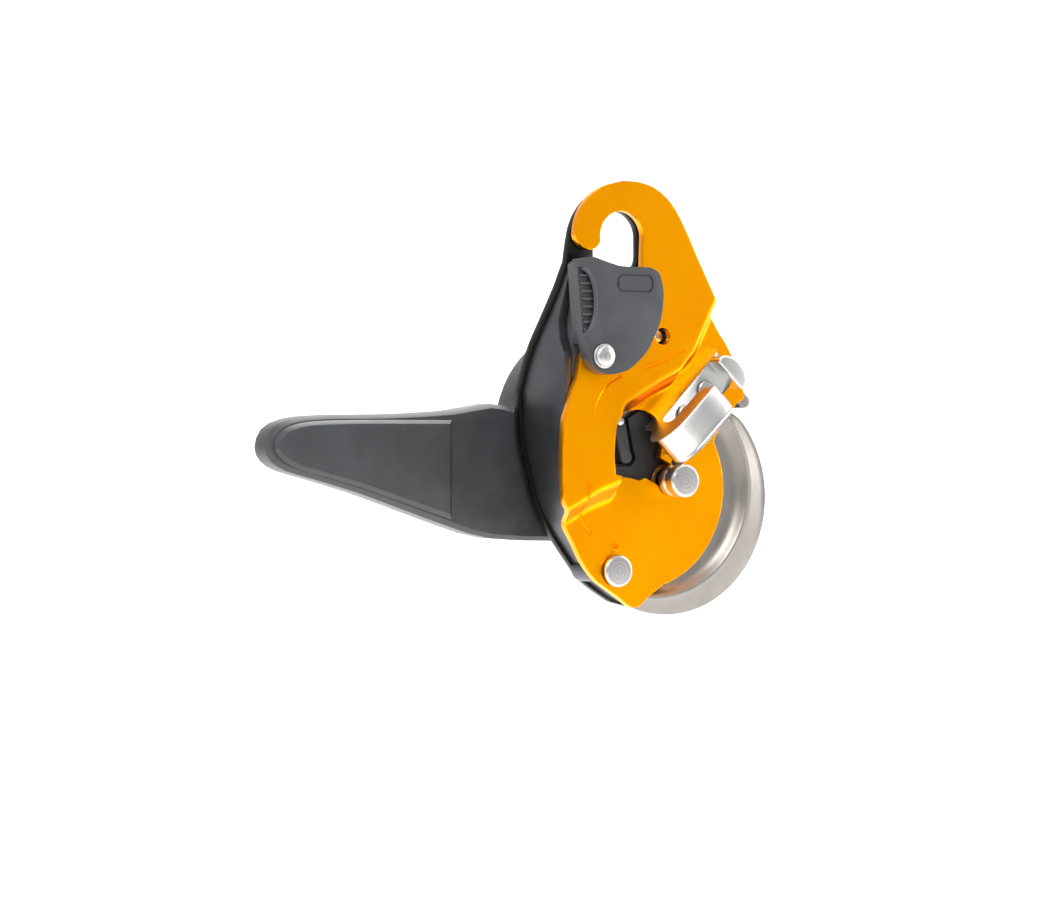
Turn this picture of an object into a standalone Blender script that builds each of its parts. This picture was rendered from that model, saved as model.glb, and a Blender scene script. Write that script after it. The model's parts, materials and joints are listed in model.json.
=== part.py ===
"""Self-braking rope descender: two plates, a camming pulley, a sprung gate and a rear lever.

Lengths are written in millimetres and turned into metres when a mesh is made.
The origin is the centre of the attachment hole, +Z is up, and the front faces -Y.
"""

import math

import bmesh
import bpy
from mathutils import Vector

MM = 0.001

# Driving sizes, mm.
CLEARANCE = 0.3
PLATE = 3.0
FRONT_RAISED = -4.0
FRONT_SETBACK = 8.5
BACK_DEPTH = 31.0
BACK_TOP_DEPTH = 3.5
HOLE_R = 8.8
BACK_HOLE_R = 9.0
WALL = 3.0
AXLE = (25.6, -84.1)
AXLE_R = 4.0
AXLE_HEAD_R = 5.8
PIVOT = (2.7, -115.3)
PIVOT_R = 2.45
PIVOT_HEAD_R = 5.6
GATE_PIVOT = (-10.8, -41.4)
GATE_RIVET_R = 2.0
GATE_FRONT = -9.5
HANDLE_PIVOT = (15.0, -67.0)
HANDLE_HUB_R = 38.0
HANDLE_DEPTH = 11.7
GRIP_DEPTH = 13.6
SHAFT_R = 5.0
RIM = (28.2, -90.1, 41.2)
RIDGE = (21.7, -86.8, 38.3)
CAM_HIDDEN_R = 34.5
GROOVE_R = 26.0
GROOVE_WIDTH = 10.5
BRAKE_WIDTH = 12.0
BRAKE_ANGLE = 46.0
BRAKE_BEND = (20.0, -69.3)
STOP_PIN = (16.5, -34.0)
BUTTON = (-34.0, -82.0)
BUTTON_R = 6.0
BUTTON_TRAVEL = 2.5
SHIELD_R = 26.5
CATCH_PIVOT = (7.5, -63.5)
CATCH_SWING = 15.0
CRANK_R = 7.0
CRANK_OFFSET = 2.6
BRAKE_RIVETS = (12.0, 24.0)
BRAKE_RIVET_R = 2.0
CATCH_PIN_R = 1.5
STOP_PIN_R = 2.3

LOW_FRONT = FRONT_RAISED + FRONT_SETBACK
LOW_BACK = LOW_FRONT + PLATE
BACK_FRONT = BACK_DEPTH - PLATE

# Faces and clearances that follow from them.
EDGE_GAP = 0.4
CAM_FRONT = LOW_BACK + 0.5
CAM_RIM_FRONT = CAM_FRONT + 3.0
CAM_BACK = BACK_FRONT - 3.2
CAM_BORE = AXLE_R + 2.2
HANDLE_FRONT = BACK_DEPTH + 3.3
BUTTON_FOOT = 3.4

# Where cutters and oversize blanks start and end, clear of every piece.
NEAR = -20.0
BEHIND = BACK_DEPTH + 3.0
FAR = BACK_DEPTH + 30.0


def clear_scene():
    for item in list(bpy.data.objects):
        bpy.data.objects.remove(item, do_unlink=True)


def material(name, colour, metallic, roughness):
    made = bpy.data.materials.get(name)
    if made:
        return made
    made = bpy.data.materials.new(name)
    made.use_nodes = True
    shader = made.node_tree.nodes["Principled BSDF"]
    shader.inputs["Base Color"].default_value = (*colour, 1.0)
    shader.inputs["Metallic"].default_value = metallic
    shader.inputs["Roughness"].default_value = roughness
    made.diffuse_color = (*colour, 1.0)
    return made


def finish_mesh(name, work, look=None):
    bmesh.ops.remove_doubles(work, verts=work.verts, dist=1e-6)
    bmesh.ops.recalc_face_normals(work, faces=work.faces)
    mesh = bpy.data.meshes.new(name)
    work.to_mesh(mesh)
    work.free()
    item = bpy.data.objects.new(name, mesh)
    bpy.context.scene.collection.objects.link(item)
    if look:
        mesh.materials.append(look)
    return item


def point(x, y, z):
    return Vector((x * MM, y * MM, z * MM))


def arc(centre, radius, start, end, count):
    steps = [math.radians(start + (end - start) * i / count) for i in range(count + 1)]
    return [(centre[0] + radius * math.cos(a), centre[1] + radius * math.sin(a)) for a in steps]


def circle(centre, radius, count=40):
    return arc(centre, radius, 0, 360 - 360 / count, count - 1)


def fair(points, steps=3):
    """An open Catmull-Rom curve through the points."""
    out = []
    for i in range(len(points) - 1):
        p0 = points[max(i - 1, 0)]
        p1 = points[i]
        p2 = points[i + 1]
        p3 = points[min(i + 2, len(points) - 1)]
        for k in range(steps):
            t = k / steps
            out.append(tuple(
                0.5 * (2 * b + (c - a) * t + (2 * a - 5 * b + 4 * c - d) * t * t
                       + (3 * b - a - 3 * c + d) * t ** 3)
                for a, b, c, d in zip(p0, p1, p2, p3)))
    return out + [tuple(points[-1])]


def prism(name, outline, y0, y1, look=None, chamfer=0.0):
    """A plate of this XZ outline between two depths, with chamfered front and back edges."""
    work = bmesh.new()
    front = work.faces.new([work.verts.new(point(x, y0, z)) for x, z in outline])
    moved = bmesh.ops.extrude_face_region(work, geom=[front])["geom"]
    back = [v for v in moved if isinstance(v, bmesh.types.BMVert)]
    bmesh.ops.translate(work, verts=back, vec=point(0, y1 - y0, 0))
    bmesh.ops.recalc_face_normals(work, faces=work.faces)
    if chamfer:
        rims = [e for e in work.edges if abs(e.verts[0].co.y - e.verts[1].co.y) < 1e-9]
        bmesh.ops.bevel(work, geom=rims, offset=chamfer * MM, segments=1,
                        affect="EDGES", profile=0.5, clamp_overlap=True)
    return finish_mesh(name, work, look)


def lathe(name, centre, profile, look=None, count=48):
    """A turned piece about a line along Y; the profile is a closed loop of (depth, radius)."""
    work = bmesh.new()
    rings = []
    for depth, radius in profile:
        if radius <= 0:
            rings.append([work.verts.new(point(centre[0], depth, centre[1]))])
            continue
        ring = []
        for x, z in circle(centre, radius, count):
            ring.append(work.verts.new(point(x, depth, z)))
        rings.append(ring)
    pairs = list(zip(rings, rings[1:]))
    if len(rings[0]) > 1:
        pairs.append((rings[-1], rings[0]))
    for near, far in pairs:
        if len(near) == 1 and len(far) == 1:
            continue
        for i in range(count):
            j = (i + 1) % count
            if len(near) == 1:
                work.faces.new([near[0], far[i], far[j]])
            elif len(far) == 1:
                work.faces.new([near[i], far[0], near[j]])
            else:
                work.faces.new([near[i], far[i], far[j], near[j]])
    return finish_mesh(name, work, look)


def rod(name, centre, radius, y0, y1, look=None, count=32):
    profile = [(y0, 0), (y0, radius), (y1, radius), (y1, 0)]
    return lathe(name, centre, profile, look, count)


def drill(centre, radius, count=32):
    """A round cutter that goes through everything at this place."""
    return rod("hole", centre, radius, NEAR, FAR, None, count)


def boolean(item, cutter, operation):
    change = item.modifiers.new(operation.lower(), "BOOLEAN")
    change.operation = operation
    change.object = cutter
    change.solver = "EXACT"
    bpy.context.view_layer.objects.active = item
    bpy.context.view_layer.update()
    bpy.ops.object.modifier_apply(modifier=change.name)
    bpy.data.objects.remove(cutter, do_unlink=True)
    return item


def cut(item, *cutters):
    for cutter in cutters:
        boolean(item, cutter, "DIFFERENCE")
    return item


def join(item, *others):
    for other in others:
        boolean(item, other, "UNION")
    return item


def smooth(t):
    t = min(max(t, 0.0), 1.0)
    return t * t * (3 - 2 * t)


def along(points, value):
    """Linear interpolation in a list of (place, value) sorted by place."""
    if value <= points[0][0]:
        return points[0][1]
    for (a, p), (b, q) in zip(points, points[1:]):
        if value <= b:
            return p + (q - p) * (value - a) / (b - a)
    return points[-1][1]


def brake_place(s, t):
    """The XZ place of a point s along the brake bar and t to its right."""
    a = math.radians(BRAKE_ANGLE)
    x = BRAKE_BEND[0] + s * math.cos(a) + t * math.sin(a)
    z = BRAKE_BEND[1] + s * math.sin(a) - t * math.cos(a)
    return x, z


def setback(x, z):
    """How far the moving plate is pressed back at this place, from 0 to 1."""
    left = along([(-30, -101), (-20, -96.5), (-8, -90.2), (0, -87.5), (5, -82.5)], x)
    lower = smooth((left - z + 5) / 10)
    if x > 5:
        lower = 0.0
    rim = along([(-1, -62), (8, -56.5), (17, -51.5), (24.5, -48), (28, -43.5), (33, -41), (38, -38)], x)
    upper = smooth((rim - z + 3.5) / 7) if x > 3 else 0.0
    low = smooth((-94 - z) / 4) if x > -8 else 0.0
    right = smooth((x - 52 - z / 2 + 3.5) / 7)
    a = math.radians(BRAKE_ANGLE)
    s = (x - BRAKE_BEND[0]) * math.cos(a) + (z - BRAKE_BEND[1]) * math.sin(a)
    t = (x - BRAKE_BEND[0]) * math.sin(a) - (z - BRAKE_BEND[1]) * math.cos(a)
    inside = min(s + 9, 41 - s, BRAKE_WIDTH / 2 + 4.5 - abs(t))
    pocket = smooth(inside / 3)
    return max(lower, upper, low, right, pocket)


def relief_slab(name):
    """A sheet of the plate's thickness, pressed back where setback says."""
    step = 3.9
    columns = [-27 + step * i for i in range(23)]
    rows = [-132 + step * i for i in range(41)]
    work = bmesh.new()
    sheets = []
    for offset in (0.0, PLATE):
        sheet = []
        for x in columns:
            line = []
            for z in rows:
                depth = FRONT_RAISED + FRONT_SETBACK * setback(x, z) + offset
                line.append(work.verts.new(point(x, depth, z)))
            sheet.append(line)
        sheets.append(sheet)
    front, back = sheets
    for i in range(len(columns) - 1):
        for j in range(len(rows) - 1):
            for sheet in sheets:
                work.faces.new([sheet[i][j], sheet[i + 1][j], sheet[i + 1][j + 1], sheet[i][j + 1]])
    edge = [(i, 0) for i in range(len(columns))]
    edge += [(len(columns) - 1, j) for j in range(1, len(rows))]
    edge += [(i, len(rows) - 1) for i in range(len(columns) - 2, -1, -1)]
    edge += [(0, j) for j in range(len(rows) - 2, 0, -1)]
    for (a, b), (c, d) in zip(edge, edge[1:] + edge[:1]):
        work.faces.new([front[a][b], front[c][d], back[c][d], back[a][b]])
    return finish_mesh(name, work)


def offset_line(points, distance):
    """The open polyline moved sideways by this distance, with mitred corners."""
    out = []
    for i, (x, z) in enumerate(points):
        before = points[max(i - 1, 0)]
        after = points[min(i + 1, len(points) - 1)]
        dx = after[0] - before[0]
        dz = after[1] - before[1]
        length = math.hypot(dx, dz)
        out.append((x - dz / length * distance, z + dx / length * distance))
    return out


def back_profile():
    """The fixed plate's rear face as (height, depth), from the top down."""
    slope = [(-17, 23), (-25, 17), (-36, 9), (-41, 6), (-48, 2.5), (-53, 0)]
    rear = [(-9, BACK_TOP_DEPTH)] + [(z, BACK_DEPTH - rise) for z, rise in slope]
    return [(25, BACK_TOP_DEPTH)] + rear + [(-140, BACK_DEPTH)]


def behind_plate(name, gap):
    """Everything behind the fixed plate's front face, less a gap."""
    face = offset_line(back_profile(), PLATE + gap)
    work = bmesh.new()
    corners = face + [(-140, FAR), (25, FAR)]
    side = work.faces.new([work.verts.new(point(-60, y, z)) for z, y in corners])
    moved = bmesh.ops.extrude_face_region(work, geom=[side])["geom"]
    far = [v for v in moved if isinstance(v, bmesh.types.BMVert)]
    bmesh.ops.translate(work, verts=far, vec=point(160, 0, 0))
    return finish_mesh(name, work)


def back_left_edge():
    top = [(-2, 18.1), (-10.4, 13.6), (-14.9, 8.7), (-17.3, 3.8), (-18.5, -1.1), (-19.7, -9)]
    side = [(-20.5, -17), (-21, -25), (-22, -36), (-22.5, -48), (-22, -60), (-21.6, -69), (-20, -76)]
    low = [(-18.4, -82.5), (-16.4, -90), (-13.5, -96), (-9.1, -103.6), (-1.3, -114), (2.8, -119)]
    return top + side + low + [(8.2, -123), (15.2, -127.2), (25.6, -130.4)]


GOLD = material("gold_anodised", (0.94, 0.38, 0.0), 1.0, 0.3)
BLACK = material("black_anodised", (0.02, 0.02, 0.02), 0.6, 0.4)
STEEL = material("satin_stainless", (0.55, 0.53, 0.5), 1.0, 0.35)
BRIGHT = material("bright_steel", (0.7, 0.7, 0.7), 1.0, 0.2)
GREY = material("dark_nylon", (0.05, 0.055, 0.06), 0.0, 0.45)
SPRING = material("spring_steel", (0.35, 0.35, 0.36), 1.0, 0.3)
BRONZE = material("bearing_bronze", (0.5, 0.3, 0.1), 1.0, 0.35)
RED = material("red_nylon", (0.5, 0.03, 0.02), 0.0, 0.45)


def make_fixed_plate():
    right = [(25.6, -130.4)] + arc((27, -91), 39.5, -88, 22, 16)
    right += [(61.5, -60), (57, -51), (46, -32), (35, -12), (25, 7), (19, 14), (11, 18.4), (4, 19.6)]
    outline = list(reversed(back_left_edge()[1:-1])) + [(-2, 18.1)]
    outline += list(reversed(right))
    plate = prism("fixed_side_plate", outline, NEAR, FAR - 1, BLACK)
    front = behind_plate("front_side", 0.0)
    boolean(plate, front, "INTERSECT")
    rear = back_profile()
    work = bmesh.new()
    corners = rear + [(-140, FAR), (25, FAR)]
    side = work.faces.new([work.verts.new(point(-60, y, z)) for z, y in corners])
    moved = bmesh.ops.extrude_face_region(work, geom=[side])["geom"]
    far = [v for v in moved if isinstance(v, bmesh.types.BMVert)]
    bmesh.ops.translate(work, verts=far, vec=point(160, 0, 0))
    cut(plate, finish_mesh("rear_side", work))
    slot = arc((0, 0), BACK_HOLE_R, 0, 180, 16) + arc((0, -6), BACK_HOLE_R, 180, 360, 16)
    cut(plate, prism("slot", slot, NEAR, FAR))
    cut(plate, drill(AXLE, AXLE_R + CLEARANCE))
    cut(plate, drill(HANDLE_PIVOT, SHAFT_R + CLEARANCE))
    return plate


def wall_front(x, z):
    """The depth of the side wall's front edge."""
    high = FRONT_RAISED + PLATE + EDGE_GAP
    low = LOW_BACK + EDGE_GAP
    scallop = along([(-39, high), (-35, 3.5), (-30, 5), (-26, 4.4), (-18, 1.5), (-12.5, high)], z)
    ramp = high + (low - high) * smooth((-85.5 - z) / 10)
    under = low + (CAM_FRONT + 5.6 - low) * smooth((x + 9) / 11)
    if x > -9 and z < -100:
        return under
    return scallop if z > -60 else ramp


def make_side_wall():
    path = fair([p for p in back_left_edge() if p[1] < -6], 3)
    outer = offset_line(path, 1.0)
    inner = offset_line(path, 1.0 + WALL)
    work = bmesh.new()
    rings = []
    for (xo, zo), (xi, zi) in zip(outer, inner):
        front = wall_front(xo, zo)
        ring = [(xo, front, zo), (xi, front, zi), (xi, BEHIND, zi), (xo, BEHIND, zo)]
        rings.append([work.verts.new(point(*p)) for p in ring])
    for near, far in zip(rings, rings[1:]):
        for i in range(4):
            j = (i + 1) % 4
            work.faces.new([near[i], near[j], far[j], far[i]])
    work.faces.new(rings[0])
    work.faces.new(rings[-1])
    wall = finish_mesh("side_wall", work, BLACK)
    post = rod("post", PIVOT, PIVOT_R + 1.75, LOW_BACK + EDGE_GAP, BEHIND)
    join(wall, post)
    cut(wall, behind_plate("rear_gap", CLEARANCE))
    cut(wall, rod("post_bore", PIVOT, PIVOT_R + CLEARANCE, NEAR, BACK_FRONT - 3.5))
    return wall


def make_guide_block():
    left = [(-15.6, -12), (-16.5, -25), (-17.6, -36), (-18.1, -48), (-17.6, -54)]
    right = [(-6, -51), (1, -46), (5, -38), (4, -27), (-2, -19.5), (-9.5, -17), (-11, -11)]
    block = prism("guide_block", left + right, FRONT_RAISED + PLATE + 0.6, BEHIND, GREY)
    return cut(block, behind_plate("rear_gap", CLEARANCE))


def make_friction_shoe():
    centre = (28, -90)
    inner = arc(centre, 43.5, 125, 47.5, 20)
    outer = arc(centre, 48.3, 47.5, 125, 20)
    tip_mid = arc(centre, 45.9, 47.5, 47.5, 1)[0]
    tip = arc(tip_mid, 2.4, 227.5, 407.5, 8)[1:-1]
    shoe = prism("friction_shoe", inner + tip + outer, CAM_FRONT + 1.0, BEHIND, STEEL)
    return cut(shoe, behind_plate("rear_gap", CLEARANCE))


def make_axle():
    profile = [(-5.0, 0), (-5.0, AXLE_HEAD_R - 0.7), (-4.3, AXLE_HEAD_R), (-0.8, AXLE_HEAD_R)]
    profile += [(0.2, 5.0), (0.8, 5.0), (1.8, 5.7), (3.9, 5.7), (3.9, AXLE_R)]
    profile += [(BACK_DEPTH + 1.9, AXLE_R), (BACK_DEPTH + 1.9, 0)]
    lathe("main_axle", AXLE, profile, STEEL)
    ring = [(BACK_DEPTH + 0.3, AXLE_R + CLEARANCE), (BACK_DEPTH + 0.3, 7.0)]
    ring += [(BACK_DEPTH + 1.5, 7.0), (BACK_DEPTH + 2.0, 6.4), (BACK_DEPTH + 2.0, AXLE_R + CLEARANCE)]
    lathe("axle_retaining_ring", AXLE, ring, STEEL)
    bore = AXLE_R + CLEARANCE
    outside = CAM_BORE - CLEARANCE
    bush = [(CAM_FRONT + 0.2, bore), (CAM_FRONT + 0.2, outside), (CAM_BACK, outside), (CAM_BACK, bore)]
    lathe("cam_bush", AXLE, bush, BRONZE)


def eccentric(circle_of, angle):
    """The radius of an off-centre circle, seen from the axle at this angle."""
    dx = circle_of[0] - AXLE[0]
    dz = circle_of[1] - AXLE[1]
    ux = math.cos(angle)
    uz = math.sin(angle)
    reach = dx * ux + dz * uz
    across = dx * uz - dz * ux
    return reach + math.sqrt(circle_of[2] ** 2 - across ** 2)


def rim_radius(degrees):
    """The cam's outer radius: the eccentric rim where it shows, smaller where it is hidden."""
    full = eccentric(RIM, math.radians(degrees))
    shown = smooth((degrees + 121) / 13) * (1 - smooth((degrees - 31) / 26))
    return CAM_HIDDEN_R + (full - CAM_HIDDEN_R) * shown


def make_cam():
    count = 72
    back = CAM_RIM_FRONT + 1.8
    floor_end = back + GROOVE_WIDTH
    work = bmesh.new()
    rings = []
    turns = [-180 + 360 * i / count for i in range(count)]

    def ring(depth, radius_of):
        made = []
        for degrees in turns:
            radius = radius_of(degrees)
            a = math.radians(degrees)
            place = (AXLE[0] + radius * math.cos(a), depth, AXLE[1] + radius * math.sin(a))
            made.append(work.verts.new(point(*place)))
        rings.append(made)

    def ridge(degrees):
        return min(eccentric(RIDGE, math.radians(degrees)), rim_radius(degrees) - 1.6)

    ring(CAM_RIM_FRONT, lambda d: CAM_BORE)
    ring(CAM_RIM_FRONT, lambda d: ridge(d) - 6)
    ring(CAM_FRONT + 2.5, lambda d: ridge(d) - 3.6)
    ring(CAM_FRONT + 0.7, lambda d: ridge(d) - 1.2)
    ring(CAM_FRONT, ridge)
    ring(CAM_FRONT + 0.5, lambda d: ridge(d) + 0.7)
    ring(CAM_RIM_FRONT, lambda d: rim_radius(d) - 0.3)
    ring(CAM_RIM_FRONT + 0.4, rim_radius)
    ring(back - 0.4, rim_radius)
    ring(back, lambda d: rim_radius(d) - 0.6)
    ring(back + 0.5, lambda d: GROOVE_R + 2.2)
    ring(back + 2.2, lambda d: GROOVE_R + 0.4)
    ring(back + GROOVE_WIDTH / 2, lambda d: GROOVE_R)
    ring(floor_end - 2.2, lambda d: GROOVE_R + 0.4)
    ring(floor_end - 0.5, lambda d: GROOVE_R + 2.2)
    ring(floor_end, lambda d: CAM_HIDDEN_R - 0.8)
    ring(CAM_BACK, lambda d: CAM_HIDDEN_R - 0.8)
    ring(CAM_BACK, lambda d: CAM_BORE)
    for near, far in zip(rings, rings[1:] + rings[:1]):
        for i in range(count):
            j = (i + 1) % count
            work.faces.new([near[i], near[j], far[j], far[i]])
    cam = finish_mesh("cam_pulley", work, STEEL)
    cut(cam, drill(PIVOT, 10.5, 40))
    pocket = prism("catch_pocket", catch_outline(0.8, CATCH_SWING), CAM_FRONT - 2, CAM_FRONT + 6.2)
    cut(cam, pocket)
    pin_hole = rod("pin_hole", CATCH_PIVOT, CATCH_PIN_R + CLEARANCE, CAM_FRONT, CAM_FRONT + 9.5, count=20)
    cut(cam, pin_hole)
    for side in (-1, 1):
        join(cam, crank_prong(side))
    return cam


def catch_outline(grow, swing=0.0):
    """The catch's outline about its pin, made larger all round by grow and swept by its swing."""
    x, z = CATCH_PIVOT
    head = arc((x, z), 3.2 + grow, 60, 200, 8)
    tail = arc((x + 2.5, z - 12.5), 2.4 + grow, 260 if swing else 210, 400, 8)
    a = math.radians(swing)
    moved = (x + 2.5 * math.cos(a) - 12.5 * math.sin(a), z - 2.5 * math.sin(a) - 12.5 * math.cos(a))
    far = arc(moved, 2.4 + grow, 190, 260, 5) if swing else []
    return head + far + tail


def make_catch():
    shield = rod("cam_shield", AXLE, SHIELD_R, CAM_FRONT + 0.5, CAM_FRONT + 2.7, GREY, 64)
    cut(shield, drill(AXLE, CAM_BORE))
    cut(shield, drill(PIVOT, 14.0, 40))
    cut(shield, prism("shield_pocket", catch_outline(0.8, CATCH_SWING), CAM_FRONT - 2, CAM_FRONT + 6.2))
    catch = prism("anti_error_catch", catch_outline(0.0), CAM_FRONT + 1.2, CAM_FRONT + 5.4, GREY, 0.4)
    cut(catch, drill(CATCH_PIVOT, CATCH_PIN_R + CLEARANCE, 20))
    rod("catch_pin", CATCH_PIVOT, CATCH_PIN_R, CAM_FRONT + 0.9, CAM_FRONT + 9.2, BRIGHT, 20)


def crank_prong(side):
    """One of the two fork prongs on the cam's rear face, beside the crank disc."""
    ax = HANDLE_PIVOT[0] - AXLE[0]
    az = HANDLE_PIVOT[1] - AXLE[1]
    length = math.hypot(ax, az)
    ux = ax / length
    uz = az / length
    near = CRANK_R + 1.0
    corners = []
    for along_arm, beside in ((14, near), (27, near), (27, near + 3), (14, near + 3)):
        across = side * beside
        corners.append((AXLE[0] + ux * along_arm + uz * across, AXLE[1] + uz * along_arm - ux * across))
    return prism("prong", corners, CAM_BACK - 1.0, CAM_BACK + 2.5)


def make_crank():
    ax = HANDLE_PIVOT[0] - AXLE[0]
    az = HANDLE_PIVOT[1] - AXLE[1]
    length = math.hypot(ax, az)
    centre = (HANDLE_PIVOT[0] + ax / length * CRANK_OFFSET, HANDLE_PIVOT[1] + az / length * CRANK_OFFSET)
    start = CAM_BACK + EDGE_GAP
    crank = rod("handle_crank", centre, CRANK_R, start, BACK_FRONT - EDGE_GAP, STEEL, 40)
    cut(crank, drill(HANDLE_PIVOT, 3.3))
    profile = [(start, 0), (start, 3.0), (BACK_FRONT - 0.1, 3.0), (BACK_FRONT - 0.1, SHAFT_R)]
    profile += [(HANDLE_FRONT + 9.2, SHAFT_R), (HANDLE_FRONT + 9.2, 2.4), (HANDLE_FRONT, 2.4)]
    profile += [(HANDLE_FRONT, 0)]
    lathe("handle_shaft", HANDLE_PIVOT, profile, STEEL, 36)
    ring = [(BACK_DEPTH + 0.3, SHAFT_R + CLEARANCE), (BACK_DEPTH + 0.3, 12.0)]
    ring += [(HANDLE_FRONT - EDGE_GAP, 12.0), (HANDLE_FRONT - EDGE_GAP, SHAFT_R + CLEARANCE)]
    lathe("handle_bearing_ring", HANDLE_PIVOT, ring, BRONZE, 36)
    top = start + 0.2
    coil = [(top, 7.4), (top, 10.2), (top + 1.9, 10.2), (top + 1.9, 7.4)]
    lathe("cam_return_spring", AXLE, coil, SPRING, 36)


def make_pivot():
    under = LOW_FRONT - 0.9
    end = BACK_FRONT - 4.0
    profile = [(under - 1.6, 0), (under - 1.6, PIVOT_HEAD_R - 0.6), (under - 1.1, PIVOT_HEAD_R)]
    profile += [(under, PIVOT_HEAD_R), (under, PIVOT_R), (end, PIVOT_R), (end, 0)]
    lathe("plate_pivot_rivet", PIVOT, profile, STEEL, 40)


def moving_outline():
    top = arc((0, 0), 18.6, 180, 105, 10)
    right = fair([(-4.8, 18), (2.7, 19.2), (9.8, 18.4), (15.7, 15.8), (21.1, 10.8), (26, 3), (32.2, -9),
                  (38.5, -20.7), (44.5, -31), (48.2, -36), (52.5, -44), (55.7, -53)], 3)[1:]
    corner = [(55.2, -55), (53.2, -56.4), (49.5, -60.5), (46, -65)]
    low = arc((11.75, -86.7), 35.2, 27.6, -72.7, 20)
    tip = fair([(22.3, -120.3), (16, -124.5), (12, -127.8), (8.8, -127.9), (4.7, -125.1), (-0.2, -121.9),
                (-5.8, -118), (-10.7, -112), (-13.9, -106.1), (-17.1, -100.6), (-18.2, -97.5),
                (-20.8, -94.4), (-22.9, -91), (-23.3, -86.4), (-23.7, -79.2), (-23.5, -70.1), (-22.9, -63.2), (-21.3, -58.5),
                (-19.7, -53), (-17.8, -48.2), (-16.4, -42.4)], 2)[1:]
    mouth = [(-15.5, -40), (2, -18), (7.2, -14.2), (8.4, -10.3)]
    hole = arc((0, 0), HOLE_R, -8, 190, 24)
    horn = [(-9.3, -3.0), (-11.2, -4.5), (-13.4, -4.8), (-16.6, -3.4)]
    return top[:-1] + right + corner + low + tip + mouth + hole + horn


def window_outline():
    slot_r = math.hypot(AXLE[0] - PIVOT[0], AXLE[1] - PIVOT[1])
    start = math.degrees(math.atan2(AXLE[1] - PIVOT[1], AXLE[0] - PIVOT[0]))
    end = arc(AXLE, AXLE_R + 0.5, start + 180, start + 360, 10)
    lower = arc(PIVOT, slot_r - AXLE_R - 0.5, 70, start + 1, 5)[:-1]
    inner = arc(PIVOT, 32.6, 92, 73, 6)
    left = [(-2.5, -81.9), (-3.1, -75.5), (-1.7, -64.2), (1.1, -61.1), (6.4, -60)]
    top = [(14, -59.5), (20, -63), (22, -69), (21, -75.5)]
    upper = arc(PIVOT, slot_r + AXLE_R + 0.5, start + 11, start + 1, 3)
    return left + top + upper + list(reversed(end))[1:-1] + list(reversed(lower)) + list(reversed(inner))


def make_moving_plate():
    plate = relief_slab("moving_side_plate")
    plate.data.materials.append(GOLD)
    boolean(plate, prism("outline", moving_outline(), NEAR, FAR), "INTERSECT")
    cut(plate, prism("window", window_outline(), NEAR, FAR))
    cut(plate, drill(PIVOT, PIVOT_R + CLEARANCE))
    cut(plate, drill(GATE_PIVOT, GATE_RIVET_R + CLEARANCE, 24))
    cut(plate, drill(STOP_PIN, STOP_PIN_R + 0.7, 24))
    for s in BRAKE_RIVETS:
        cut(plate, drill(brake_place(s, 0), BRAKE_RIVET_R + CLEARANCE, 20))
    return plate


def gate_outline():
    side = [(-17.6, -37.7), (-18.9, -25), (-20.2, -10), (-19.4, -8.4), (-14.4, -7.6)]
    curve = fair([(-14.4, -7.6), (-6.4, -9.9), (-2.4, -10.5), (5.3, -10.6), (8.6, -10.9), (11.6, -12.6),
                  (13, -16.5), (13.4, -20.7), (12.6, -27.3), (10.9, -32.1), (7.3, -38.7), (4.1, -42.2),
                  (-0.4, -45.7), (-5, -47.2), (-9.2, -47.5), (-13.4, -46), (-16.4, -42.1)], 2)[1:]
    return side + curve


def make_gate():
    gate = prism("gate", gate_outline(), GATE_FRONT, FRONT_RAISED - CLEARANCE, GREY, 0.8)
    tongue = [(-17.4, -37.0), (-18.6, -25), (-19.7, -10), (-19, -8.9), (-13.8, -8.4), (-12.8, -14)]
    tongue += [(-14.4, -30), (-15.8, -37.6)]
    join(gate, prism("tongue", tongue, GATE_FRONT + 2, FRONT_RAISED + PLATE + 0.2))
    cut(gate, drill(GATE_PIVOT, GATE_RIVET_R + CLEARANCE, 24))
    pocket_floor = FRONT_RAISED - 3.6
    cut(gate, rod("spring_pocket", GATE_PIVOT, 5.0, pocket_floor, FRONT_RAISED, count=32))
    coil = [(pocket_floor + EDGE_GAP, 2.9), (pocket_floor + EDGE_GAP, 4.6), (FRONT_RAISED - 0.5, 4.6)]
    lathe("gate_spring", GATE_PIVOT, coil + [(FRONT_RAISED - 0.5, 2.9)], SPRING, 32)
    washer = [(GATE_FRONT - 0.9, 2.3), (GATE_FRONT - 0.9, 4.2), (GATE_FRONT - 0.3, 4.2), (GATE_FRONT - 0.3, 2.3)]
    lathe("gate_washer", GATE_PIVOT, washer, BRIGHT, 32)
    head = [(GATE_FRONT - 2.4, 0), (GATE_FRONT - 2.3, 3.0), (GATE_FRONT - 1.9, 3.6), (GATE_FRONT - 1.2, 3.6)]
    head += [(GATE_FRONT - 1.2, GATE_RIVET_R), (FRONT_RAISED + PLATE - 0.3, GATE_RIVET_R)]
    lathe("gate_rivet", GATE_PIVOT, head + [(FRONT_RAISED + PLATE - 0.3, 0)], BRIGHT, 32)
    return gate


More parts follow.
